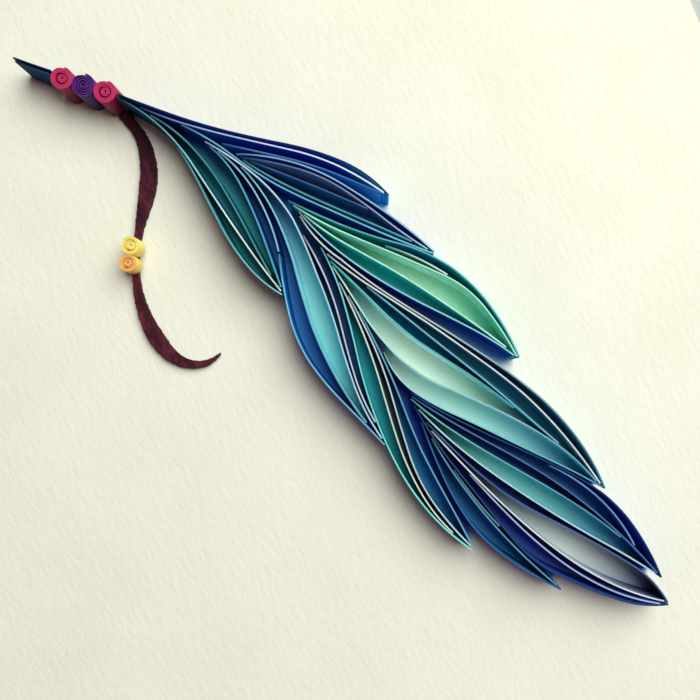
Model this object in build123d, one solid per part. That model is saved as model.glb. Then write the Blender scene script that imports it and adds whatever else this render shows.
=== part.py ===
from build123d import *
import os
from math import ceil, cos, dist, floor, radians, sin, tau

# A quilled paper feather on a sheet of white card. Its strips stand on edge, side by
# side, and part into pointed leaves. Everything is in millimetres, with +Z up.
# The origin is under the middle of the card sheet, which lies flat.

# The card sheet under the work
SHEET_WIDTH = 210.0
SHEET_LENGTH = 297.0
SHEET_THICKNESS = 0.5

# The paper strips, which stand on edge, and the glue line between two of them
STRIP_HEIGHT = 7.0
STRIP_THICKNESS = 0.3
GLUE_GAP = 0.08

# Where the feather's own drawing lies on the sheet, and how far it is turned there
FEATHER_X = 10.0
FEATHER_Y = -4.0
FEATHER_TURN = -23.7

# The three tight coils on the quill, in a row from the middle one
STEM_BEAD_HEIGHT = STRIP_HEIGHT
PINK_RADIUS = 2.2
PURPLE_RADIUS = 2.25
PURPLE_X = -53.4
PURPLE_Y = 53.1
BEAD_ROW_TURN = -17.4

# The two short coils that sit on the lace
LACE_BEAD_HEIGHT = 3.5
YELLOW_RADIUS = 1.8
ORANGE_RADIUS = 1.75
YELLOW_X = -44.9
YELLOW_Y = 21.5
LACE_BEAD_TURN = -99.0

# The groove between the turns of a coil, seen in its top face
GROOVE_WIDTH = 0.14
GROOVE_DEPTH = 0.35

# The flat suede lace
LACE_THICKNESS = 1.2

# How closely the strips are tested against each other, and the arcs that a curve is cut into
TEST_STEP = 0.2
STRIP_ARC = 12.0
GROOVE_ARC = 1.2
LACE_ARC = 7.0

# The two layers of the quill's end, before the coils
QUILL = {
    "quill_end_upper_strip": [(-67.4, 58.5), (-63.8, 57.2), (-58.0, 55.3)],
    "quill_end_lower_strip": [(-67.0, 57.8), (-63.6, 56.4), (-58.0, 54.6)],
}

# The top edge of each strip, as points that its curve goes through, from the quill to
# the leaf's tip. The strips are laid in this order: a later one stops where it meets
# an earlier one. First come the outlines of the leaves and the long spine strips.
OUTLINES = {
    "right_leaf_1_outer_strip": [
        (-49.0, 52.1), (-42.4, 49.6), (-31.6, 45.8), (-19.4, 42.6), (-7.8, 40.0), (1.8, 36.0), (7.7, 31.0)
    ],
    "left_leaf_1_quill_strip": [
        (-49.0, 51.5), (-41.7, 47.7), (-34.2, 40.8), (-30.1, 35.0), (-20.0, 20.0), (-13.8, 11.8)
    ],
    "left_leaf_2_spine_strip": [
        (-29.0, 41.7), (-23.6, 38.4), (-16.8, 33.0), (-11.2, 25.8), (-7.8, 18.0), (-3.8, 7.7),
        (-0.1, -4.4), (6.4, -17.7)
    ],
    "right_leaf_4_outer_strip": [
        (-10.0, 26.8), (-7.0, 22.6), (-3.0, 19.1), (2.7, 14.6), (15.0, 6.5), (30.0, -3.2), (38.0, -9.4),
        (46.3, -18.8), (51.0, -27.7)
    ],
    "end_leaf_lower_strip": [
        (12.8, -11.0), (17.5, -18.7), (27.4, -31.4), (38.8, -43.4), (46.2, -47.0), (55.5, -50.4),
        (60.0, -51.1), (63.7, -50.9)
    ],
    "right_leaf_1_white_strip": [
        (-42.0, 48.6), (-28.6, 44.0), (-16.4, 41.1), (-4.8, 37.9), (2.1, 34.5), (7.4, 31.0)
    ],
    "right_leaf_2_spine_strip": [
        (-40.8, 47.9), (-32.8, 44.6), (-26.1, 40.8), (-21.7, 37.6), (-14.0, 32.7), (-4.8, 28.4), (7.4, 23.0),
        (16.8, 19.3)
    ],
    "right_leaf_2_outer_strip": [
        (-22.8, 39.2), (-16.6, 38.7), (-7.2, 36.1), (2.8, 30.5), (10.0, 25.5), (17.1, 19.5)
    ],
    "right_leaf_3_outer_strip": [
        (-12.4, 29.9), (-7.8, 27.7), (4.0, 23.0), (14.0, 19.9), (20.5, 16.4), (27.1, 10.1), (33.9, -1.5)
    ],
    "left_leaf_1_outer_strip": [
        (-36.2, 42.8), (-30.1, 33.1), (-21.6, 18.2), (-16.6, 13.1), (-13.6, 11.1)
    ],
    "left_leaf_3_outer_strip": [
        (-5.8, 20.5), (-0.5, 7.0), (2.8, -6.4), (7.8, -19.8), (12.2, -27.7), (17.0, -33.7), (24.5, -40.0)
    ],
    "left_leaf_2_outer_strip": [
        (-14.2, 19.2), (-13.1, 11.6), (-9.6, 0.2), (-0.8, -11.0), (7.6, -19.7)
    ],
    "left_leaf_4_outer_strip": [
        (14.3, -14.5), (20.9, -29.7), (25.3, -36.1), (30.0, -40.5), (42.2, -47.9)
    ],
    "right_leaf_5_outer_strip": [
        (12.2, -8.5), (29.4, -17.7), (43.2, -24.2), (51.0, -29.0), (60.2, -40.9), (62.3, -45.5)
    ],
    "end_leaf_upper_strip": [
        (14.8, -14.0), (22.6, -21.7), (29.9, -27.9), (44.4, -36.1), (54.0, -41.5), (58.0, -44.1),
        (63.6, -50.5)
    ],
}

# The strips inside each leaf
INNER_STRIPS = {
    "right_leaf_3_green_strip": [
        (-12.0, 29.4), (-6.0, 25.8), (7.2, 20.0), (17.2, 15.7), (21.5, 13.5), (27.5, 7.9), (33.4, -1.3)
    ],
    "right_leaf_3_lower_strip": [
        (-10.6, 28.2), (-5.2, 22.3), (1.2, 17.2), (13.7, 9.7), (28.2, 2.1), (33.0, -1.2)
    ],
    "right_leaf_4_lower_strip": [
        (6.8, -0.4), (11.8, -7.5), (22.2, -13.4), (36.7, -20.4), (44.0, -23.9), (50.6, -27.5)
    ],
    "left_leaf_1_green_strip": [
        (-40.0, 47.0), (-32.6, 41.6), (-26.2, 33.6), (-22.0, 26.4), (-15.4, 14.2)
    ],
    "left_leaf_1_teal_strip": [
        (-38.0, 46.5), (-28.8, 41.3), (-24.0, 36.4), (-20.8, 30.8), (-18.2, 24.8), (-13.8, 12.6)
    ],
    "left_leaf_1_blue_strip": [
        (-26.8, 40.0), (-22.6, 36.4), (-18.8, 31.2), (-14.4, 20.2), (-13.4, 11.8)
    ],
    "left_leaf_2_pale_strip": [
        (-22.8, 37.6), (-16.6, 30.0), (-12.0, 19.6), (-8.4, 7.0), (-2.4, -6.2), (6.0, -17.8)
    ],
    "left_leaf_2_violet_strip": [
        (-13.4, 28.8), (-8.7, 21.8), (-4.0, 12.2), (0.2, -2.7), (6.4, -16.4)
    ],
    "right_leaf_4_pale_strip": [
        (-6.4, 20.6), (-1.1, 13.2), (5.7, 3.0), (14.0, -4.7), (22.2, -8.7), (36.5, -15.7), (50.4, -27.7)
    ],
    "left_leaf_3_cream_strip": [
        (-9.4, 26.2), (-2.6, 14.4), (3.4, 1.4), (6.0, -6.4), (11.0, -22.0), (17.5, -33.3), (24.2, -39.4)
    ],
    "left_leaf_3_white_strip": [
        (-5.6, 20.0), (-0.1, 10.4), (5.6, -1.1), (10.0, -14.8), (14.8, -27.5), (18.0, -32.3), (24.2, -39.2)
    ],
    "left_leaf_3_cyan_strip": [
        (1.0, 9.4), (3.3, 5.0), (8.7, -6.3), (13.6, -18.5), (19.4, -29.7), (24.7, -39.7)
    ],
    "right_leaf_4_white_strip": [
        (-6.4, 20.8), (2.7, 13.7), (15.0, 5.8), (25.0, -1.2), (33.1, -7.3), (40.1, -14.0), (50.7, -27.7)
    ],
    "right_leaf_4_cyan_strip": [
        (3.4, 12.7), (8.4, 8.8), (19.3, 0.1), (27.0, -6.0), (34.5, -12.4), (42.5, -19.3)
    ],
    "right_leaf_4_teal_strip": [
        (-4.8, 18.6), (-1.1, 15.2), (8.4, 6.1), (13.0, 2.2), (20.7, -2.8), (30.0, -9.3), (40.0, -17.4)
    ],
    "right_leaf_2_inner_strip": [
        (-21.8, 38.6), (-14.0, 37.2), (-5.0, 34.2), (2.0, 29.9), (10.0, 23.9), (16.4, 19.7)
    ],
    "right_leaf_2_teal_strip": [
        (-21.4, 38.0), (-15.4, 34.4), (-4.8, 29.3), (7.4, 24.0), (15.6, 20.2)
    ],
    "right_leaf_2_navy_strip": [
        (-20.0, 37.8), (-7.9, 33.1), (4.2, 28.0)
    ],
    "right_leaf_1_blue_strip": [
        (-25.6, 41.3), (-14.0, 38.7), (-6.4, 36.6), (-0.2, 34.2), (7.4, 30.9)
    ],
    "right_leaf_3_white_strip": [
        (7.0, 20.9), (15.5, 17.4), (21.6, 13.6)
    ],
    "right_leaf_3_middle_strip": [
        (-9.8, 27.6), (-1.6, 21.7), (7.0, 16.9), (18.0, 10.0), (25.0, 5.2), (33.1, -0.9)
    ],
    "right_leaf_5_navy_strip": [
        (12.4, -9.3), (23.4, -16.1), (38.9, -24.9), (53.4, -36.2), (62.0, -45.2)
    ],
    "right_leaf_5_teal_strip": [
        (12.2, -9.8), (22.2, -17.2), (34.7, -24.6), (49.8, -34.0), (60.4, -43.6)
    ],
    "right_leaf_5_white_strip": [
        (12.4, -10.4), (22.6, -20.1), (33.5, -28.0), (48.0, -37.0), (54.6, -40.7), (61.8, -45.2)
    ],
    "right_leaf_5_inner_strip": [
        (39.8, -23.1), (46.9, -27.2), (51.8, -31.6), (57.5, -40.3)
    ],
    "end_leaf_white_strip": [
        (15.2, -15.0), (22.6, -22.9), (37.1, -36.6), (49.8, -45.4), (62.8, -50.2)
    ],
    "end_leaf_second_strip": [
        (24.0, -24.9), (35.3, -36.5), (49.8, -46.9), (62.8, -50.8)
    ],
    "left_leaf_4_pale_strip": [
        (12.8, -10.8), (17.0, -18.8), (27.7, -33.7), (41.8, -47.4)
    ],
    "left_leaf_4_second_strip": [
        (20.8, -24.0), (24.2, -28.7), (28.0, -33.2), (30.6, -35.9)
    ],
}

# The lace's route, from the last coil on the quill to its cut point: x, y and width
LACE_ROUTE = [
    (-48.0, 49.2, 2.2),
    (-45.3, 46.8, 2.3),
    (-42.8, 40.8, 3.2),
    (-42.8, 33.9, 3.4),
    (-44.3, 26.7, 1.9),
    (-45.1, 20.0, 1.2),
    (-45.0, 14.5, 1.6),
    (-43.6, 8.3, 2.5),
    (-39.9, 1.5, 3.3),
    (-34.9, -2.4, 2.0),
    (-30.5, -2.4, 1.3),
    (-27.4, -0.2, 0.2),
]

os.makedirs("parts", exist_ok=True)


def save(name, shape, base):
    """Puts a piece of the drawing on the sheet, its foot at the height base, and writes it."""
    placed = Pos(FEATHER_X, FEATHER_Y, base) * Rot(0, 0, FEATHER_TURN) * shape
    placed.label = name
    export_step(placed, f"parts/{name}.step")


def step_from(x, y, turn, length):
    """The point that lies length away from x, y in the direction turn."""
    return x + length * cos(radians(turn)), y + length * sin(radians(turn))


# The coils: a paper strip rolled tight, so the solid is a round bar, and the gap
# between its turns shows in the top face as a spiral groove.
def coil(radius, height, turns, reach):
    """A tight coil whose outer band is plain and whose groove winds in from reach times its radius."""
    count = ceil(8 * turns)
    core = 0.12 * radius
    winding = []
    for i in range(count + 1):
        r = reach * radius + (core - reach * radius) * i / count
        winding.append((r * cos(tau * turns * i / count), r * sin(tau * turns * i / count)))
    groove = extrude(band(Spline(winding), GROOVE_WIDTH, GROOVE_ARC), GROOVE_DEPTH)
    return extrude(Circle(radius), height) - Pos(0, 0, height - GROOVE_DEPTH) * groove


# A strip: its middle line is made as thick as the paper and stands to its height.
def arcs_through(points):
    """A smooth line through the points, one arc through each three."""
    arcs = []
    for i in range(0, len(points) - 2, 2):
        arcs.append(ThreePointArc(points[i], points[i + 1], points[i + 2]))
    return arcs


def side_of(line, offset, arc_length):
    """The curve that runs beside the line, offset to its left."""
    count = 2 * ceil(line.length / arc_length)
    points = []
    for i in range(count + 1):
        along = line % (i / count)
        points.append(line @ (i / count) + Vector(-along.Y, along.X) * offset)
    return arcs_through(points)


def band(line, thickness, arc_length):
    """The face between the two curves that run beside the line."""
    left = side_of(line, thickness / 2, arc_length)
    right = side_of(line, -thickness / 2, arc_length)
    ends = [Line(left[0] @ 0, right[0] @ 0), Line(left[-1] @ 1, right[-1] @ 1)]
    return make_face(left + right + ends)


laid_points = {}


def cell(point):
    return floor(point.X), floor(point.Y)


def lay(line):
    """Notes where a strip lies, so that later strips can stop at it."""
    count = ceil(line.length / TEST_STEP)
    for i in range(count + 1):
        point = line @ (i / count)
        laid_points.setdefault(cell(point), []).append(point)


def is_free(point, bars):
    """Whether a strip may pass here, clear of the strips laid so far and of the coils."""
    for x, y, radius in bars:
        if dist((point.X, point.Y), (x, y)) < radius + GLUE_GAP + STRIP_THICKNESS / 2:
            return False
    column, row = cell(point)
    for i in range(column - 1, column + 2):
        for j in range(row - 1, row + 2):
            for other in laid_points.get((i, j), []):
                if (point - other).length < STRIP_THICKNESS + GLUE_GAP:
                    return False
    return True


def free_run(line, bars):
    """The longest stretch of the line that touches nothing laid before it."""
    count = ceil(line.length / TEST_STEP)
    best = (0, 0)
    start = None
    for i in range(count + 1):
        free = is_free(line @ (i / count), bars)
        if free and start is None:
            start = i
        if free and i - start > best[1] - best[0]:
            best = (start, i)
        if not free:
            start = None
    return line.trim(best[0] / count, best[1] / count)


def strip(points, bars):
    """One paper strip on edge along the points, cut to stop at what it meets."""
    line = free_run(Spline(points), bars)
    lay(line)
    return extrude(band(line, STRIP_THICKNESS, STRIP_ARC), STRIP_HEIGHT)


# The card sheet
sheet = extrude(Rectangle(SHEET_WIDTH, SHEET_LENGTH), SHEET_THICKNESS)
sheet.label = "card_sheet"
export_step(sheet, "parts/card_sheet.step")

# The coils on the quill stand in a row, a glue line apart
reach_to_pink = PINK_RADIUS + PURPLE_RADIUS + GLUE_GAP
upper_x, upper_y = step_from(PURPLE_X, PURPLE_Y, BEAD_ROW_TURN + 180, reach_to_pink)
lower_x, lower_y = step_from(PURPLE_X, PURPLE_Y, BEAD_ROW_TURN, reach_to_pink)
pink_coil = coil(PINK_RADIUS, STEM_BEAD_HEIGHT, 2, 0.5)
purple_coil = coil(PURPLE_RADIUS, STEM_BEAD_HEIGHT, 2.5, 0.75)
save("first_pink_coil_bead", Pos(upper_x, upper_y) * pink_coil, SHEET_THICKNESS)
save("purple_coil_bead", Pos(PURPLE_X, PURPLE_Y) * purple_coil, SHEET_THICKNESS)
save("second_pink_coil_bead", Pos(lower_x, lower_y) * pink_coil, SHEET_THICKNESS)
stem_coils = [(upper_x, upper_y, PINK_RADIUS), (PURPLE_X, PURPLE_Y, PURPLE_RADIUS), (lower_x, lower_y, PINK_RADIUS)]

# The paper strips
for group in (QUILL, OUTLINES, INNER_STRIPS):
    for name, points in group.items():
        save(name, strip(points, stem_coils), SHEET_THICKNESS)

# The lace is cut from suede, wide in its two bends and narrow where the coils sit
route = Spline([(x, y) for x, y, width in LACE_ROUTE])
near_side = []
far_side = []
for x, y, width in LACE_ROUTE:
    along = route % route.param_at_point((x, y))
    across = Vector(-along.Y, along.X) * width / 2
    near_side.append(Vector(x, y) + across)
    far_side.append(Vector(x, y) - across)
lace_ends = [Line(near_side[0], far_side[0]), Line(near_side[-1], far_side[-1])]
lace_sides = side_of(Spline(near_side), 0, LACE_ARC) + side_of(Spline(far_side), 0, LACE_ARC)
lace = extrude(make_face(lace_sides + lace_ends), LACE_THICKNESS)
save("suede_lace", lace, SHEET_THICKNESS)

# The two short coils sit on the lace, one against the other
lace_top = SHEET_THICKNESS + LACE_THICKNESS
orange_x, orange_y = step_from(YELLOW_X, YELLOW_Y, LACE_BEAD_TURN, YELLOW_RADIUS + ORANGE_RADIUS + GLUE_GAP)
save("yellow_coil_bead", Pos(YELLOW_X, YELLOW_Y) * coil(YELLOW_RADIUS, LACE_BEAD_HEIGHT, 1.25, 0.5), lace_top)
save("orange_coil_bead", Pos(orange_x, orange_y) * coil(ORANGE_RADIUS, LACE_BEAD_HEIGHT, 1.25, 0.5), lace_top)
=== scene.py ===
from math import cos, radians, sin, tau

import bmesh
import bpy
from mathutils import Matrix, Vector
from mathutils.bvhtree import BVHTree


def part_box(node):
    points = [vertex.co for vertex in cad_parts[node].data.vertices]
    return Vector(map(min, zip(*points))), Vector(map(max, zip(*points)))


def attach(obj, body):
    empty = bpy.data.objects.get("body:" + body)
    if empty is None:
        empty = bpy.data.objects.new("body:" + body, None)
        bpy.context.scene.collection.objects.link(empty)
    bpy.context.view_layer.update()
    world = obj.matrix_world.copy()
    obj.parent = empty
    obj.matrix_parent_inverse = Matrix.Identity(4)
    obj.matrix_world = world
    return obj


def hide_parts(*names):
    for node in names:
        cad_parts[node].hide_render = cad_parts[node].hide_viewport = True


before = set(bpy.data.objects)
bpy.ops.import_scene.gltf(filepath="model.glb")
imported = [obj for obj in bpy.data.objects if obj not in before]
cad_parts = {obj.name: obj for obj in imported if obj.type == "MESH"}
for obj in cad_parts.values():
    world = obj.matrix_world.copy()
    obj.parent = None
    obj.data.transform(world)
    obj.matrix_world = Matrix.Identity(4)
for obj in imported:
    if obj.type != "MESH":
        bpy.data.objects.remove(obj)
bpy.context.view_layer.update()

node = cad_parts
bpy.ops.object.select_all(action="DESELECT")


# Camera.
# A phone held level over the work, so the picture plane is parallel to the card. The card
# lies turned under it, and the lens axis meets it a little right of and below the middle.
CARD_TURN = radians(-23.7)
LENS_HEIGHT = 0.137


def on_card(x, y, z=0.0):
    """A point of the feather's own drawing, in millimetres, as a place in metres on the card."""
    across, along = x / 1000, y / 1000
    return Vector((
        0.010 + across * cos(CARD_TURN) - along * sin(CARD_TURN),
        -0.004 + across * sin(CARD_TURN) + along * cos(CARD_TURN),
        0.0005 + z / 1000,
    ))


bpy.ops.object.camera_add(location=on_card(7, -7) + Vector((0, 0, LENS_HEIGHT)), rotation=(0, 0, CARD_TURN))
camera = bpy.context.object
camera.data.sensor_width = 36
camera.data.lens = 36 * 650 / 700
camera.data.shift_x = -0.05
camera.data.shift_y = 0.05
camera.data.clip_start = 0.01
bpy.context.scene.camera = camera
bpy.context.scene.view_settings.view_transform = "Standard"


# Light and floor.
# A broad soft lamp stands at the upper right, as a window would. The room round it is dim and
# a little warm, so the shadow beside the feather is warm too. The floor is a plain pale sheet
# that shows past the card's edge.
def tint(code):
    """A colour written as six hexadecimal digits, in the linear values that nodes take."""
    parts = [int(code[i:i + 2], 16) / 255 for i in (0, 2, 4)]
    return tuple(p / 12.92 if p <= 0.04045 else ((p + 0.055) / 1.055) ** 2.4 for p in parts) + (1.0,)


def link(tree, start, output, end, socket):
    tree.links.new(start.outputs[output], end.inputs[socket])


room = bpy.data.worlds.new("room")
room.use_nodes = True
tree = room.node_tree
sky_place = tree.nodes.new("ShaderNodeTexCoord")
sky_parts = tree.nodes.new("ShaderNodeSeparateXYZ")
sky = tree.nodes.new("ShaderNodeValToRGB")
sky.color_ramp.elements[0].position = 0.1
sky.color_ramp.elements[0].color = (0.142, 0.078, 0.076, 1)
sky.color_ramp.elements[1].position = 0.75
sky.color_ramp.elements[1].color = (0.112, 0.067, 0.072, 1)
seen = tree.nodes.new("ShaderNodeLightPath")
backdrop = tree.nodes.new("ShaderNodeMix")
backdrop.data_type = "RGBA"
backdrop.inputs[7].default_value = (0.8, 0.82, 0.82, 1)
link(tree, sky_place, "Generated", sky_parts, "Vector")
link(tree, sky_parts, "Z", sky, "Fac")
link(tree, seen, "Is Camera Ray", backdrop, 0)
link(tree, sky, "Color", backdrop, 6)
link(tree, backdrop, 2, tree.nodes["Background"], "Color")
bpy.context.scene.world = room

LIGHT_RISE = radians(51)
LIGHT_TURN = radians(21)
WINDOW_FAR = 0.9
window_way = Vector((
    cos(LIGHT_TURN) * cos(LIGHT_RISE),
    sin(LIGHT_TURN) * cos(LIGHT_RISE),
    sin(LIGHT_RISE),
))
bpy.ops.object.light_add(type="AREA", location=window_way * WINDOW_FAR)
window = bpy.context.object
window.data.shape = "DISK"
window.data.size = 1.1
window.data.energy = 13.6
window.data.color = (0.955, 1.0, 0.935)
window.rotation_euler = window_way.to_track_quat("Z", "Y").to_euler()

bpy.ops.mesh.primitive_plane_add(size=1.6, location=(0, 0, 0))
floor = bpy.context.object
floor.name = "floor"
floor_paint = bpy.data.materials.new("pale_floor")
floor_paint.use_nodes = True
floor_paint.node_tree.nodes["Principled BSDF"].inputs["Base Color"].default_value = tint("b9c0c0")
floor_paint.node_tree.nodes["Principled BSDF"].inputs["Roughness"].default_value = 0.8
floor.data.materials.append(floor_paint)


# Card sheet.
# Heavy cold-pressed watercolour card, cut square. Its face has a soft pebbled grain,
# pressed in slanting rows, and a faint warm mottle. Everything is glued a hair into its face.
ACROSS = Vector((cos(radians(45) + CARD_TURN), sin(radians(45) + CARD_TURN), 0))
ALONG = Vector((cos(radians(-45) + CARD_TURN), sin(radians(-45) + CARD_TURN), 0))
strips = [name for name in node if name.endswith("_strip")]
stood = [v.co for name in strips for v in node[name].data.vertices]
MARGIN = 0.002
under_feather = [
    (way, round(edge(v @ way for v in stood) + spare, 4))
    for way in (ACROSS, ALONG)
    for edge, spare in ((min, -MARGIN), (max, MARGIN))
]


def in_rectangle(point):
    """Whether a point lies inside the feather's rectangle, whose sides come as low, high, low, high."""
    return all(
        (point @ way - reach) * (1 if i % 2 == 0 else -1) > 0
        for i, (way, reach) in enumerate(under_feather)
    )


card_low, card_high = [Vector(corner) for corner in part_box("card_sheet")]
FOOT_SUNK = 0.00003
card_high.z += FOOT_SUNK
bpy.ops.mesh.primitive_cube_add(size=1, location=(card_low + card_high) / 2, scale=card_high - card_low)
card_sheet = bpy.context.object
card_sheet.name = "pebbled_card_sheet"
bpy.ops.object.transform_apply(location=True, rotation=True, scale=True)
bpy.ops.object.mode_set(mode="EDIT")
for way, reach in under_feather:
    bpy.ops.mesh.select_all(action="SELECT")
    bpy.ops.mesh.bisect(plane_co=way * reach, plane_no=way)
bpy.ops.mesh.select_mode(type="FACE")
bpy.ops.mesh.select_all(action="DESELECT")
card_faces = bmesh.from_edit_mesh(card_sheet.data)
for face in card_faces.faces:
    face.select = face.normal.z > 0.9 and in_rectangle(face.calc_center_median())
bmesh.update_edit_mesh(card_sheet.data)
bpy.ops.mesh.subdivide(number_cuts=9)
bpy.ops.mesh.subdivide(number_cuts=9)
bpy.ops.mesh.subdivide(number_cuts=1)
bpy.ops.object.mode_set(mode="OBJECT")
rim = card_sheet.modifiers.new("cut_edge", "BEVEL")
rim.width = 0.00007
rim.segments = 2
rim.limit_method = "ANGLE"
bpy.ops.object.modifier_apply(modifier="cut_edge")
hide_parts("card_sheet")
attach(card_sheet, "root")

fibre = bpy.data.node_groups.new("paper_fibre", "ShaderNodeTree")
fibre.interface.new_socket("Scale", in_out="INPUT", socket_type="NodeSocketFloat")
fibre.interface.new_socket("Tone", in_out="OUTPUT", socket_type="NodeSocketFloat")
fibre.interface.new_socket("Height", in_out="OUTPUT", socket_type="NodeSocketFloat")
fibre_in = fibre.nodes.new("NodeGroupInput")
fibre_out = fibre.nodes.new("NodeGroupOutput")
fibre_place = fibre.nodes.new("ShaderNodeTexCoord")
fibre_fine = fibre.nodes.new("ShaderNodeTexNoise")
fibre_fine.inputs["Detail"].default_value = 6
fibre_fine.inputs["Roughness"].default_value = 0.65
fibre_wide = fibre.nodes.new("ShaderNodeTexNoise")
fibre_wide.inputs["Scale"].default_value = 260
fibre_wide.inputs["Detail"].default_value = 3
fibre_tone = fibre.nodes.new("ShaderNodeMapRange")
fibre_tone.inputs["From Min"].default_value = 0.25
fibre_tone.inputs["From Max"].default_value = 0.75
fibre_tone.inputs["To Min"].default_value = 0.86
fibre_tone.inputs["To Max"].default_value = 1.1
fibre_speck = fibre.nodes.new("ShaderNodeMapRange")
fibre_speck.inputs["From Min"].default_value = 0.3
fibre_speck.inputs["From Max"].default_value = 0.7
fibre_speck.inputs["To Min"].default_value = 0.9
fibre_speck.inputs["To Max"].default_value = 1.08
fibre_both = fibre.nodes.new("ShaderNodeMath")
fibre_both.operation = "MULTIPLY"
link(fibre, fibre_place, "Object", fibre_fine, "Vector")
link(fibre, fibre_place, "Object", fibre_wide, "Vector")
link(fibre, fibre_in, "Scale", fibre_fine, "Scale")
link(fibre, fibre_wide, "Fac", fibre_tone, "Value")
link(fibre, fibre_fine, "Fac", fibre_speck, "Value")
link(fibre, fibre_tone, "Result", fibre_both, 0)
link(fibre, fibre_speck, "Result", fibre_both, 1)
link(fibre, fibre_both, "Value", fibre_out, "Tone")
link(fibre, fibre_fine, "Fac", fibre_out, "Height")


def fibrous(tree, skin, colour, output, scale, strength, depth):
    """Lays paper fibre over a colour: as a faint change of tone, and as a bump of a given depth."""
    grain = tree.nodes.new("ShaderNodeGroup")
    grain.node_tree = fibre
    grain.inputs["Scale"].default_value = scale
    toned = tree.nodes.new("ShaderNodeVectorMath")
    toned.operation = "SCALE"
    link(tree, colour, output, toned, 0)
    link(tree, grain, "Tone", toned, "Scale")
    link(tree, toned, "Vector", skin, "Base Color")
    bump = tree.nodes.new("ShaderNodeBump")
    bump.inputs["Strength"].default_value = strength
    bump.inputs["Distance"].default_value = depth
    link(tree, grain, "Height", bump, "Height")
    link(tree, bump, "Normal", skin, "Normal")


card = bpy.data.materials.new("watercolour_card")
card.use_nodes = True
tree = card.node_tree
skin = tree.nodes["Principled BSDF"]
skin.inputs["Roughness"].default_value = 0.85
place = tree.nodes.new("ShaderNodeTexCoord")
turned = tree.nodes.new("ShaderNodeMapping")
turned.inputs["Rotation"].default_value = (0, 0, radians(35))
turned.inputs["Scale"].default_value = (1.0, 0.45, 1.0)
pebble = tree.nodes.new("ShaderNodeTexNoise")
pebble.inputs["Scale"].default_value = 950
pebble.inputs["Detail"].default_value = 3
pebble.inputs["Roughness"].default_value = 0.5
mottle = tree.nodes.new("ShaderNodeTexNoise")
mottle.inputs["Scale"].default_value = 45
mottle.inputs["Detail"].default_value = 4
tone = tree.nodes.new("ShaderNodeValToRGB")
tone.color_ramp.elements[0].color = tint("ecebdc")
tone.color_ramp.elements[0].position = 0.3
tone.color_ramp.elements[1].color = tint("f1f1e3")
tone.color_ramp.elements[1].position = 0.7
relief = tree.nodes.new("ShaderNodeBump")
relief.inputs["Strength"].default_value = 0.55
relief.inputs["Distance"].default_value = 0.0002
link(tree, place, "Object", turned, "Vector")
link(tree, turned, "Vector", pebble, "Vector")
link(tree, place, "Object", mottle, "Vector")
link(tree, mottle, "Fac", tone, "Fac")
# The card's colour is multiplied by painted bounce light and shade, worked out for the cells below.
painted_bounce_tint = tree.nodes.new("ShaderNodeAttribute")
painted_bounce_tint.attribute_name = "painted_bounce_tint"
painted_bounce = tree.nodes.new("ShaderNodeMix")
painted_bounce.data_type = "RGBA"
painted_bounce.blend_type = "MULTIPLY"
painted_bounce.inputs[0].default_value = 1
link(tree, tone, "Color", painted_bounce, 6)
link(tree, painted_bounce_tint, "Color", painted_bounce, 7)
link(tree, painted_bounce, 2, skin, "Base Color")
link(tree, pebble, "Fac", relief, "Height")
link(tree, relief, "Normal", skin, "Normal")
card_sheet.data.materials.append(card)


# Quill end.
# Two layers of blue paper, stood on edge and glued together before the coils. Each strip's
# cut edge and two faces are given apart, partly as painted light and shade: where the cut edge
# is paler than its face, that is painted light on the lit top; faces carry painted shade and
# painted bounce, also on white strips; and colours along the length carry shade and glow.
wall_colours = {}
SHADED_START_LENGTH = 0.005


def ramp(tree, fac, codes):
    """Colours that follow one another from a strip's quill end to its tip."""
    blend = tree.nodes.new("ShaderNodeValToRGB")
    stops = blend.color_ramp.elements
    stops[0].color = tint(codes[0])
    stops[1].color = tint(codes[-1])
    for i in range(1, len(codes) - 1):
        stops.new(i / (len(codes) - 1)).color = tint(codes[i])
    link(tree, fac, "Result", blend, "Fac")
    return blend


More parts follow.
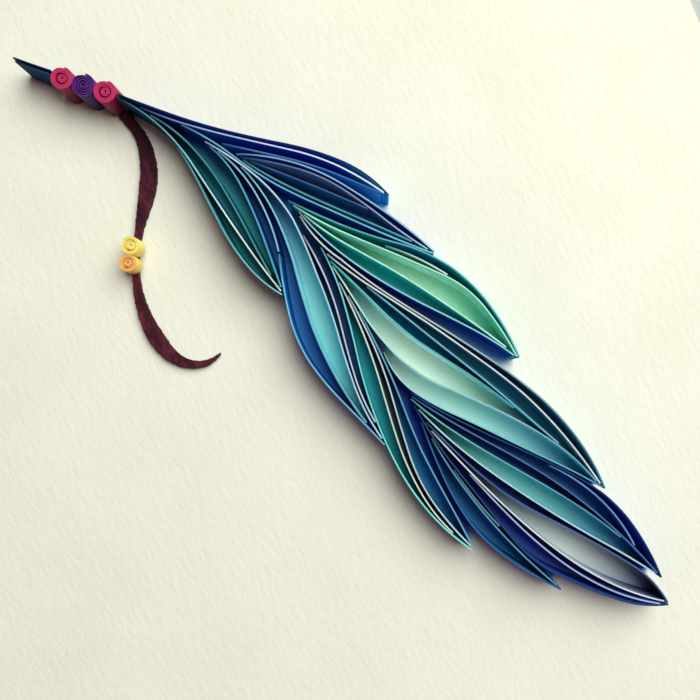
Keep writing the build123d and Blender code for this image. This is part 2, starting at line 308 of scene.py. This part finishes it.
def strip_paper(name, edge, upper, lower):
    """Paints a strip: its cut edge, its face to the upper right, and its face to the lower left, partly as
    painted light and shade.
    """
    wall_colours[name] = (upper, lower)
    paper = bpy.data.materials.new(name + "_paper")
    paper.use_nodes = True
    tree = paper.node_tree
    skin = tree.nodes["Principled BSDF"]
    skin.inputs["Roughness"].default_value = 0.6
    skin.inputs["Specular IOR Level"].default_value = 0.03
    runs = [v.co @ ALONG for v in node[name].data.vertices]
    place = tree.nodes.new("ShaderNodeTexCoord")
    along = tree.nodes.new("ShaderNodeVectorMath")
    along.operation = "DOT_PRODUCT"
    along.inputs[1].default_value = ALONG
    share = tree.nodes.new("ShaderNodeMapRange")
    share.inputs["From Min"].default_value = min(runs)
    share.inputs["From Max"].default_value = max(runs)
    link(tree, place, "Object", along, 0)
    link(tree, along, "Value", share, "Value")
    facing = tree.nodes.new("ShaderNodeNewGeometry")
    side = tree.nodes.new("ShaderNodeVectorMath")
    side.operation = "DOT_PRODUCT"
    side.inputs[1].default_value = ACROSS
    to_upper = tree.nodes.new("ShaderNodeMath")
    to_upper.operation = "GREATER_THAN"
    to_upper.inputs[1].default_value = 0
    parts = tree.nodes.new("ShaderNodeSeparateXYZ")
    to_top = tree.nodes.new("ShaderNodeMath")
    to_top.operation = "GREATER_THAN"
    to_top.inputs[1].default_value = 0.5
    link(tree, facing, "Normal", side, 0)
    link(tree, side, "Value", to_upper, 0)
    link(tree, facing, "Normal", parts, "Vector")
    link(tree, parts, "Z", to_top, 0)
    faces = tree.nodes.new("ShaderNodeMix")
    faces.data_type = "RGBA"
    link(tree, to_upper, "Value", faces, 0)
    link(tree, ramp(tree, share, lower), "Color", faces, 6)
    link(tree, ramp(tree, share, upper), "Color", faces, 7)
    # The cut edge darkens over its first few millimetres from the quill end: painted shade.
    shaded_start = tree.nodes.new("ShaderNodeMapRange")
    shaded_start.inputs["From Min"].default_value = min(runs)
    shaded_start.inputs["From Max"].default_value = min(runs) + SHADED_START_LENGTH
    shaded_start.inputs["To Min"].default_value = 0.3
    shaded_start.inputs["To Max"].default_value = 1
    link(tree, along, "Value", shaded_start, "Value")
    cut_edge = tree.nodes.new("ShaderNodeVectorMath")
    cut_edge.operation = "SCALE"
    link(tree, ramp(tree, share, edge), "Color", cut_edge, 0)
    link(tree, shaded_start, "Result", cut_edge, "Scale")
    cut = tree.nodes.new("ShaderNodeMix")
    cut.data_type = "RGBA"
    link(tree, to_top, "Value", cut, 0)
    link(tree, faces, 2, cut, 6)
    link(tree, cut_edge, "Vector", cut, 7)
    fibrous(tree, skin, cut, 2, scale=3600, strength=0.5, depth=0.00005)
    node[name].material_slots[0].material = paper


strip_paper("quill_end_upper_strip", ["142a4c"], ["18508c"], ["143c68"])
strip_paper("quill_end_lower_strip", ["244468"], ["18508c"], ["123a60", "184c74"])


# First right leaf.
# A navy outline strip, a white one close inside it, and a blue one that curls away. All
# three turn a bright cyan at the tip, which is painted light shining through the paper.
strip_paper(
    "right_leaf_1_outer_strip",
    ["1a2c58"],
    ["1a4aa8", "1a4aa8", "1a4aa8", "1a4aa8", "1a4aa8", "58dcf8"],
    ["143868", "1c5cc4", "1c5cc4", "2c88dc", "70f0fc"],
)
strip_paper(
    "right_leaf_1_white_strip",
    ["2c4878", "a8b8dc", "dce4f8", "e8eefa"],
    ["2a70d0", "2a70d0", "2a70d0", "2a70d0", "50d8f8"],
    ["143c70", "1c62c8", "1c62c8", "1c62c8", "50d4fc"],
)
strip_paper(
    "right_leaf_1_blue_strip",
    ["4f79b0", "2a6cb0"],
    ["1c62c8", "1c62c8", "1c62c8", "1c62c8", "50d8f8"],
    ["1c64c0", "1c78cc", "48dcfc", "80fcfc"],
)


# Second right leaf.
# Its spine and outline are pale blue, and dark and teal strips run between them.
strip_paper("right_leaf_2_outer_strip", ["7fa6d0", "9cc9dc"], ["1c62c8"], ["2a70c8"])
strip_paper("right_leaf_2_inner_strip", ["35507e", "a3b6dc"], ["2868b8"], ["7090c0"])
strip_paper("right_leaf_2_navy_strip", ["3c5d94"], ["7c98bc"], ["5888b8"])
strip_paper("right_leaf_2_teal_strip", ["5f93a8", "4f9db0"], ["2a88b0"], ["2a98c0"])
strip_paper("right_leaf_2_spine_strip", ["6ba4c8", "70c4d4"], ["2a98b8", "2cc4d8"], ["1c62c8"])


# Third right leaf.
# Teal and green strips around a pale green hollow, with a blue strip below. The hollow's faces, palest in
# its middle, carry painted light.
strip_paper("right_leaf_3_outer_strip", ["4aa0b0", "66c8c8"], ["1494b4"], ["2cb4cc"])
strip_paper("right_leaf_3_white_strip", ["7fb8c0", "dcebe8"], ["24b0c4"], ["58c8b8", "78dcc4"])
strip_paper("right_leaf_3_green_strip", ["a4ecdc"], ["58d0b4", "78dcc0"], ["7cdcd0", "d4fcf0", "80e0d0"])
strip_paper("right_leaf_3_middle_strip", ["b0f0dc"], ["7cdcd0", "d0fcec", "80e0d0"], ["4cdce0"])
strip_paper("right_leaf_3_lower_strip", ["8cd0e0"], ["40c8cc"], ["1c58c0"])


# Fourth right leaf.
# White, cyan and teal strips above two pale hollows, one mint and one light cyan. The hollows' faces,
# palest in their middles, carry painted light, and the white strips' faces carry painted shade and bounce.
strip_paper("right_leaf_4_outer_strip", ["dde4e8", "3a8c94"], ["5a90c0"], ["5a98c0"])
strip_paper("right_leaf_4_white_strip", ["d8dfe2"], ["5a98b8"], ["48a0b8"])
strip_paper("right_leaf_4_cyan_strip", ["74b8cc"], ["3c98b8"], ["2498c0"])
strip_paper(
    "right_leaf_4_teal_strip",
    ["54d4d8", "4c98b0"],
    ["1ca8c4"],
    ["88dce0", "e4fcf8", "d0f8f4", "70ccd4"],
)
strip_paper(
    "right_leaf_4_pale_strip",
    ["c4f2ee", "5c9cb4"],
    ["88dce0", "ecfcfc", "d0f8f4", "5cc0d8"],
    ["e8fcfc", "c4f8fc", "3cb8e0"],
)
strip_paper("right_leaf_4_lower_strip", ["a0e4ec", "4c98c0"], ["f0fcfc", "c4f4f8", "50bcdc"], ["1c62c8"])


# Fifth right leaf.
# Navy outlines, a light blue strip inside the tip, and a teal hollow below the middle, whose faces, palest
# in the middle, carry painted light.
strip_paper("right_leaf_5_outer_strip", ["24487c", "16306c"], ["1c5cb0"], ["1c62c8"])
strip_paper("right_leaf_5_inner_strip", ["6a94c8"], ["2c78c8"], ["2c78c8"])
strip_paper("right_leaf_5_navy_strip", ["4a6ea0"], ["3078b8"], ["1c58b8"])
strip_paper(
    "right_leaf_5_teal_strip",
    ["6cc0c8", "4c88b0"],
    ["2068a8"],
    ["3c98a8", "9ce8f0", "78ccdc", "30a4d0"],
)
strip_paper(
    "right_leaf_5_white_strip",
    ["a4e0e4", "b4cce0"],
    ["3c98a8", "a4ecf0", "80d0e0", "50b8dc"],
    ["2c58b8"],
)


# End leaf.
# A navy leaf around a pale grey hollow, with painted light in its middle and painted shade
# at both ends, with white and lilac strips low in it.
strip_paper(
    "end_leaf_upper_strip",
    ["44669c", "4c6890"],
    ["1c4cac"],
    ["3c4c80", "a8bccc", "c0ccd4", "202868"],
)
strip_paper("end_leaf_white_strip", ["d4deea"], ["3c4c80", "b4c4d4", "c0ccd4", "202868"], ["2458b8"])
strip_paper("end_leaf_second_strip", ["a8b8dc"], ["3058b8"], ["1c48b0"])
strip_paper("end_leaf_lower_strip", ["2c4a78", "26386c"], ["2450a8", "2c58b8"], ["1854b8"])


# First left leaf.
# Teal, white, green and blue strips over deep green hollows. Faces and edges darken towards the stem as
# painted shade.
strip_paper("left_leaf_1_outer_strip", ["4c94a0", "84c4cc"], ["209ca8"], ["1c5474", "18848c"])
strip_paper(
    "left_leaf_1_quill_strip",
    ["20405c", "7cc0c8", "e0ece8", "d0d8d4"],
    ["209cb0"],
    ["143c60", "1c6488", "209cb4"],
)
strip_paper("left_leaf_1_green_strip", ["4a8c94"], ["186890", "188088"], ["208c9c"])
strip_paper("left_leaf_1_teal_strip", ["56acc4"], ["1868b8"], ["186890", "188088"])
strip_paper("left_leaf_1_blue_strip", ["8cc8e4"], ["1858b8"], ["1c78b4"])


# Second left leaf.
# A blue outline, a pale teal hollow, and white and lilac strips down the spine. The hollow's faces, palest
# in the middle, carry painted light.
strip_paper("left_leaf_2_outer_strip", ["7cccec", "70b0cc"], ["1470c0"], ["1c70c4"])
strip_paper("left_leaf_2_pale_strip", ["7cd0dc", "5c9cb4"], ["4c98d0", "a0f0f8", "84e0ec"], ["1c88d0"])
strip_paper("left_leaf_2_spine_strip", ["c4d8ec", "acdcec"], ["2c88c8"], ["4c94d4", "8ce4fc", "7cd8f4"])
strip_paper("left_leaf_2_violet_strip", ["c4d0e4"], ["14509c"], ["2c88c8"])


# Third left leaf.
# A cyan outline, cream and white strips with dark gaps, and a cyan strip at the back. The dark gap is
# painted shade on the cream and white strips' facing sides.
strip_paper("left_leaf_3_outer_strip", ["6cd0dc", "84ecdc"], ["1cb0c0"], ["1c80b8"])
strip_paper("left_leaf_3_cream_strip", ["cfe0d8"], ["20383c"], ["1cacbc"])
strip_paper("left_leaf_3_white_strip", ["bcd0dc"], ["2088c4"], ["20383c"])
strip_paper("left_leaf_3_cyan_strip", ["5ca8c8"], ["1058c0"], ["2898cc"])


# Fourth left leaf.
# Blue strips, with a pale edge inside and a black gap beside it. The gap is painted shade, a darker blue on
# the two faces that close it.
strip_paper("left_leaf_4_outer_strip", ["2c6cac", "3c6490"], ["146cac"], ["145cc0"])
strip_paper("left_leaf_4_pale_strip", ["5898b4"], ["14409c"], ["1874b0"])
strip_paper("left_leaf_4_second_strip", ["5c88a0"], ["2058b8"], ["14409c"])


# Tint in the cells.
# The card between the strips is lit mostly by what the coloured paper throws back. Paint on
# the card stands for that light: round each point the walls are found that can be seen from
# it, and the nearer and more closed they are, the deeper it is tinted with their colours.
TINT_REACH = 0.014
TINT_HEIGHT = 0.003
NEAR_WALL = 0.003
LOOKS = 12
SHADED_SHARE = 0.4
LIT_SHARE = 0.6
OPEN_CELL = 0.6
CLOSING = 0.25
TINT_GAIN = 2.0
DEEPEST_TINT = 0.95
BRIGHTNESS = 1.17
EVENING = 0.8
wall_points = []
wall_faces = []
wall_owner = []
for name in strips:
    start = len(wall_points)
    wall_points += [v.co.copy() for v in node[name].data.vertices]
    for face in node[name].data.polygons:
        wall_faces.append([start + i for i in face.vertices])
        wall_owner.append(name)
walls = BVHTree.FromPolygons(wall_points, wall_faces)
run = {}
for name in strips:
    reaches = [v.co @ ALONG for v in node[name].data.vertices]
    run[name] = (min(reaches), max(reaches))
paint = {
    name: tuple([Vector(tint(code)[:3]) for code in codes] for codes in wall_colours[name])
    for name in strips
}
light_way = Vector((window_way.x, window_way.y, 0)).normalized()
looks = [Vector((cos(i * tau / LOOKS), sin(i * tau / LOOKS), 0)) for i in range(LOOKS)]
tints = card_sheet.data.color_attributes.new(name="painted_bounce_tint", type="FLOAT_COLOR", domain="POINT")
for i, point in enumerate(card_sheet.data.vertices):
    tints.data[i].color = (1, 1, 1, 1)
    if point.co.z < card_high.z - 0.00001 or not in_rectangle(point.co):
        continue
    glow = Vector((0, 0, 0))
    weight = 0
    closed = 0
    near = 0
    for look in looks:
        spot, facing, number, far = walls.ray_cast(point.co + Vector((0, 0, TINT_HEIGHT)), look, TINT_REACH)
        if spot is None:
            continue
        name = wall_owner[number]
        if facing @ look > 0:
            facing = -facing
        codes = paint[name][0 if facing @ ACROSS > 0 else 1]
        first, last = run[name]
        place = min(max((spot @ ALONG - first) / (last - first), 0), 0.999) * (len(codes) - 1)
        colour = codes[int(place)]
        if len(codes) > 1:
            colour = colour.lerp(codes[int(place) + 1], place - int(place))
        share = (SHADED_SHARE + LIT_SHARE * max(0, facing @ light_way)) / (far + 0.001)
        glow += colour * share
        weight += share
        closed += 1 / LOOKS
        near += 1 / (1 + far / NEAR_WALL) / LOOKS
    if weight == 0:
        continue
    glow /= weight
    glow /= max(glow) ** EVENING / BRIGHTNESS
    depth = min(max((closed - OPEN_CELL) / CLOSING, 0), 1) * min(TINT_GAIN * near, DEEPEST_TINT)
    tints.data[i].color = (*Vector((1, 1, 1)).lerp(glow, depth), 1)


# Coils on the quill.
# Three tight coils of 7 mm quilling paper, pink, purple and pink. Each is one strip rolled from
# its heart, with its end glued down, and stands on the card between the quill and the leaves.
HEART = 0.00022
PRESSED = 0.00004
POINTS_A_TURN = 44
SLACK_RUN = 0.6
FIRST_RING = 2
RING_RUN = 1.5
STEP_SHARE = 0.18
HOLLOW_DEPTH = 0.00016
HOLLOW_REACH = 0.62
UNEVEN = 0.00003
WAVES = 37


def rolled_coil(name, bead, paper_width, pitch, slack, slack_turn, end_side):
    """A strip rolled up to the bead's size, with a slack turn round its heart, glued down at end_side."""
    low, high = [Vector(corner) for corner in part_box(bead)]
    radius = (high.x - low.x) / 2 - paper_width / 2 + PRESSED
    turns = (radius - HEART - slack) / pitch
    bpy.ops.curve.primitive_nurbs_path_add(location=(low + high) / 2)
    coil = bpy.context.object
    coil.name = name
    coil.data.dimensions = "2D"
    line = coil.data.splines[0]
    line.type = "POLY"
    steps = int(turns * POINTS_A_TURN)
    line.points.add(steps + 1 - len(line.points))
    for i in range(steps + 1):
        turn = turns * i / steps
        loose = min(max((turn - slack_turn) / SLACK_RUN, 0), 1)
        part = (turn - turns) % 1 if i < steps else 1
        step = min(part / STEP_SHARE, 1)
        ring = min(max((turn - FIRST_RING) / RING_RUN, 0), 1) * (step * step * (3 - 2 * step) - part)
        away = HEART + pitch * (turn + ring) + slack * loose * loose * (3 - 2 * loose)
        angle = tau * (turn - turns) + end_side
        line.points[i].co = (away * cos(angle), away * sin(angle), 0, 1)
    coil.data.extrude = (high.z - low.z) / 2
    bpy.ops.object.convert(target="MESH")
    bpy.ops.object.transform_apply(location=True, rotation=True, scale=True)
    middle = (low + high) / 2
    for v in coil.data.vertices:
        if v.co.z > middle.z:
            out = (v.co - middle).to_2d().length / radius
            v.co.z -= HOLLOW_DEPTH * (1 - min(out / HOLLOW_REACH, 1)) + UNEVEN * (1 + sin(out * WAVES))
    wall = coil.modifiers.new("paper", "SOLIDIFY")
    wall.thickness = paper_width
    wall.offset = 0
    bpy.ops.object.modifier_apply(modifier="paper")
    soft = coil.modifiers.new("soft_edge", "BEVEL")
    soft.width = 0.00005
    soft.segments = 2
    soft.limit_method = "ANGLE"
    bpy.ops.object.modifier_apply(modifier="soft_edge")
    bpy.ops.object.mode_set(mode="EDIT")
    bpy.ops.mesh.select_all(action="SELECT")
    bpy.ops.mesh.normals_make_consistent(inside=False)
    bpy.ops.object.mode_set(mode="OBJECT")
    bpy.ops.object.shade_smooth_by_angle(angle=radians(35))
    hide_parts(bead)
    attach(coil, "root")
    return coil


COIL_FOOT = 0.0005
COIL_TOP = 0.0075


def coil_paper(name, edge, face, shaded_foot):
    """Rolled paper: the strip's cut edge on top, and its face, deeper in colour towards the card as painted
    shade.
    """
    paper = bpy.data.materials.new(name)
    paper.use_nodes = True
    tree = paper.node_tree
    skin = tree.nodes["Principled BSDF"]
    skin.inputs["Roughness"].default_value = 0.5
    skin.inputs["Specular IOR Level"].default_value = 0.25
    facing = tree.nodes.new("ShaderNodeNewGeometry")
    parts = tree.nodes.new("ShaderNodeSeparateXYZ")
    link(tree, facing, "Normal", parts, "Vector")
    place = tree.nodes.new("ShaderNodeTexCoord")
    height = tree.nodes.new("ShaderNodeSeparateXYZ")
    link(tree, place, "Object", height, "Vector")
    down = tree.nodes.new("ShaderNodeMapRange")
    down.inputs["From Min"].default_value = COIL_FOOT
    down.inputs["From Max"].default_value = COIL_TOP
    link(tree, height, "Z", down, "Value")
    side = tree.nodes.new("ShaderNodeMix")
    side.data_type = "RGBA"
    side.inputs[6].default_value = tint(shaded_foot)
    side.inputs[7].default_value = tint(face)
    link(tree, down, "Result", side, 0)
    top = tree.nodes.new("ShaderNodeMapRange")
    top.inputs["From Min"].default_value = 0.3
    top.inputs["From Max"].default_value = 0.9
    link(tree, parts, "Z", top, "Value")
    whole = tree.nodes.new("ShaderNodeMix")
    whole.data_type = "RGBA"
    whole.inputs[7].default_value = tint(edge)
    link(tree, top, "Result", whole, 0)
    link(tree, side, 2, whole, 6)
    fibrous(tree, skin, whole, 2, scale=6500, strength=0.3, depth=0.00004)
    return paper


pink = coil_paper("pink_quilling_paper", "c43064", "a0184e", "640c34")
purple = coil_paper("purple_quilling_paper", "5c2c84", "54207c", "2c1648")
first_pink_coil = rolled_coil(
    "first_pink_coil", "first_pink_coil_bead",
    0.00022, 0.00024, 0.00026, 2.4, radians(50),
)
first_pink_coil.data.materials.append(pink)
purple_coil = rolled_coil(
    "purple_coil", "purple_coil_bead",
    0.00022, 0.00039, 0.00012, 1.2, radians(56),
)
purple_coil.data.materials.append(purple)
second_pink_coil = rolled_coil(
    "second_pink_coil", "second_pink_coil_bead",
    0.00022, 0.00024, 0.00026, 2.6, radians(48),
)
second_pink_coil.data.materials.append(pink)


# Suede lace.
# One flat lace of maroon-brown suede, glued to the card from the last coil down to its hooked
# tip. Its cut edges are soft and a little ragged, and its nap is brushed along its length.
lace = node["suede_lace"].copy()
lace.data = node["suede_lace"].data.copy()
lace.name = "brushed_suede_lace"
bpy.context.collection.objects.link(lace)
bpy.ops.object.select_all(action="DESELECT")
lace.select_set(True)
bpy.context.view_layer.objects.active = lace
lace.hide_render = False
bpy.ops.object.mode_set(mode="EDIT")
bpy.ops.mesh.select_all(action="SELECT")
bpy.ops.mesh.remove_doubles(threshold=0.000001)
bpy.ops.object.mode_set(mode="OBJECT")
START_REACH = 0.0022
lace_start = on_card(-48.0, 49.2)
under_coil = on_card(-48.25, 49.85) - lace_start
to_leaf = on_card(-47.55, 49.55) - lace_start
for v in lace.data.vertices:
    start = (v.co - lace_start).to_2d()
    if start.length < START_REACH:
        v.co += to_leaf if start @ ACROSS.to_2d() > 0 else under_coil
fine = lace.modifiers.new("fine", "REMESH")
fine.mode = "VOXEL"
fine.voxel_size = 0.00017
bpy.ops.object.modifier_apply(modifier="fine")
worn = lace.modifiers.new("worn", "SMOOTH")
worn.factor = 0.5
worn.iterations = 4
bpy.ops.object.modifier_apply(modifier="worn")
ragged = bpy.data.textures.new("ragged", "CLOUDS")
ragged.noise_scale = 0.0009
ragged.noise_depth = 3
frayed = lace.modifiers.new("frayed", "DISPLACE")
frayed.texture = ragged
frayed.texture_coords = "LOCAL"
frayed.mid_level = 0.55
frayed.strength = 0.0004
bpy.ops.object.modifier_apply(modifier="frayed")
LACE_LOW = 0.00051
LACE_TOP = 0.0017
for v in lace.data.vertices:
    v.co.z = min(max(v.co.z, LACE_LOW), LACE_TOP)
bpy.ops.object.shade_smooth()

NAP_STRETCH = 0.3
suede = bpy.data.materials.new("maroon_suede")
suede.use_nodes = True
tree = suede.node_tree
skin = tree.nodes["Principled BSDF"]
skin.inputs["Roughness"].default_value = 0.95
skin.inputs["Sheen Weight"].default_value = 0.05
skin.inputs["Sheen Roughness"].default_value = 0.6
skin.inputs["Specular IOR Level"].default_value = 0.2
place = tree.nodes.new("ShaderNodeTexCoord")
drawn = tree.nodes.new("ShaderNodeMapping")
drawn.inputs["Rotation"].default_value = (0, 0, -CARD_TURN)
drawn.inputs["Scale"].default_value = (1.0, NAP_STRETCH, 1.0)
nap = tree.nodes.new("ShaderNodeTexNoise")
nap.inputs["Scale"].default_value = 1900
nap.inputs["Detail"].default_value = 5
nap.inputs["Roughness"].default_value = 0.7
brushed = tree.nodes.new("ShaderNodeTexNoise")
brushed.inputs["Scale"].default_value = 420
brushed.inputs["Detail"].default_value = 4
both = tree.nodes.new("ShaderNodeMix")
both.inputs[0].default_value = 0.55
hide = tree.nodes.new("ShaderNodeValToRGB")
hide.color_ramp.elements[0].position = 0.36
hide.color_ramp.elements[0].color = tint("260a16")
hide.color_ramp.elements[1].position = 0.66
hide.color_ramp.elements[1].color = tint("6c2a34")
hide.color_ramp.elements.new(0.5).color = tint("3e1222")
lay = tree.nodes.new("ShaderNodeBump")
lay.inputs["Strength"].default_value = 0.7
lay.inputs["Distance"].default_value = 0.00012
link(tree, place, "Object", drawn, "Vector")
link(tree, drawn, "Vector", nap, "Vector")
link(tree, drawn, "Vector", brushed, "Vector")
link(tree, nap, "Fac", both, 2)
link(tree, brushed, "Fac", both, 3)
drawn_parts = tree.nodes.new("ShaderNodeSeparateXYZ")
# The lace darkens towards its upper end by the coils: painted shade.
upper_end_shade = tree.nodes.new("ShaderNodeMapRange")
upper_end_shade.inputs["From Min"].default_value = NAP_STRETCH * 0.008
upper_end_shade.inputs["From Max"].default_value = NAP_STRETCH * 0.042
upper_end_shade.inputs["To Min"].default_value = 0.05
upper_end_shade.inputs["To Max"].default_value = -0.13
painted_shade_upper = tree.nodes.new("ShaderNodeMath")
painted_shade_upper.operation = "ADD"
link(tree, drawn, "Vector", drawn_parts, "Vector")
link(tree, drawn_parts, "Y", upper_end_shade, "Value")
link(tree, both, 0, painted_shade_upper, 0)
link(tree, upper_end_shade, "Result", painted_shade_upper, 1)
link(tree, painted_shade_upper, "Value", hide, "Fac")
link(tree, hide, "Color", skin, "Base Color")
link(tree, both, 0, lay, "Height")
link(tree, lay, "Normal", skin, "Normal")
lace.data.materials.clear()
lace.data.materials.append(suede)
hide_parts("suede_lace")
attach(lace, "root")


# Coils on the lace.
# A yellow and an orange coil of narrower quilling paper, rolled in the same way and glued on
# top of the lace, one against the other.
yellow = coil_paper("yellow_quilling_paper", "fce87c", "fff490", "fce868")
orange = coil_paper("orange_quilling_paper", "f8b06c", "ffe078", "f8c860")
yellow_coil = rolled_coil(
    "yellow_coil", "yellow_coil_bead",
    0.0002, 0.00022, 0.00016, 2.9, radians(118),
)
yellow_coil.data.materials.append(yellow)
orange_coil = rolled_coil(
    "orange_coil", "orange_coil_bead",
    0.0002, 0.00022, 0.0002, 2.4, radians(106),
)
orange_coil.data.materials.append(orange)
